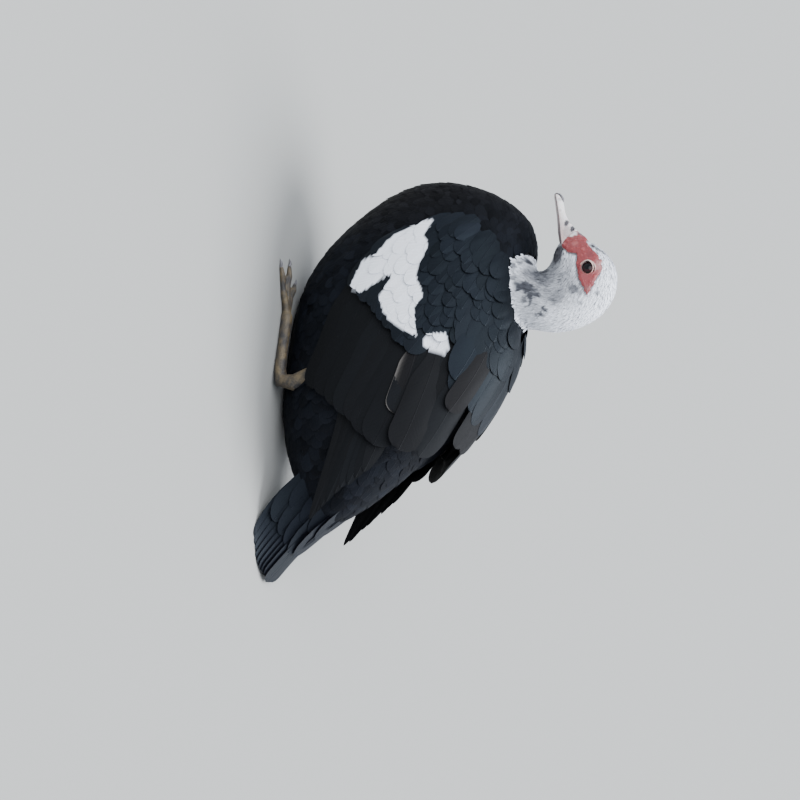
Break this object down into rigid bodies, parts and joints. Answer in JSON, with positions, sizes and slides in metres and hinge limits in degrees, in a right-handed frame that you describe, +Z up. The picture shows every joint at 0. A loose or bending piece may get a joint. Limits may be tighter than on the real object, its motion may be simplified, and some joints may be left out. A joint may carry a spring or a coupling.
{
  "type": "muscovy duck figure",
  "caption": "Life-size muscovy duck resting on its belly, with folded wings, bare face skin, hooked bill and webbed feet tucked beside it.",
  "frame": {"origin": "the middle of the flat that the belly rests on, on the floor", "axes": "+X from the bird's breast to its tail, so it faces -X; its left side is at -Y; +Z up"},
  "size_m": [0.4448, 0.1718, 0.3526],
  "materials": {
    "black_plumage": "black feathers with a faint blue and green sheen",
    "white_plumage": "soft white feathers with grey flecks",
    "bill_horn": "smooth pale pink horn with dark spots",
    "nail_horn": "smooth dark grey horn",
    "eye": "wet dark brown",
    "face_skin": "bare red skin with small bulbs",
    "leg_scales": "scaly olive-grey skin"
  },
  "bodies": {
    "root": {"torso": "black_plumage", "neck": "white_plumage", "head": "white_plumage", "bill_upper": "bill_horn", "bill_lower": "bill_horn", "bill_nail": "nail_horn", "eye_left": "eye", "eye_right": "eye", "face_left": "face_skin", "face_right": "face_skin", "wing_left": "black_plumage", "wing_right": "black_plumage", "tail": "black_plumage", "leg_left": "leg_scales", "leg_right": "leg_scales", "foot_left": "leg_scales", "foot_right": "leg_scales", "claw_inner_left": "nail_horn", "claw_middle_left": "nail_horn", "claw_outer_left": "nail_horn", "claw_hind_left": "nail_horn", "claw_inner_right": "nail_horn", "claw_middle_right": "nail_horn", "claw_outer_right": "nail_horn", "claw_hind_right": "nail_horn"}
  },
  "joints": []
}
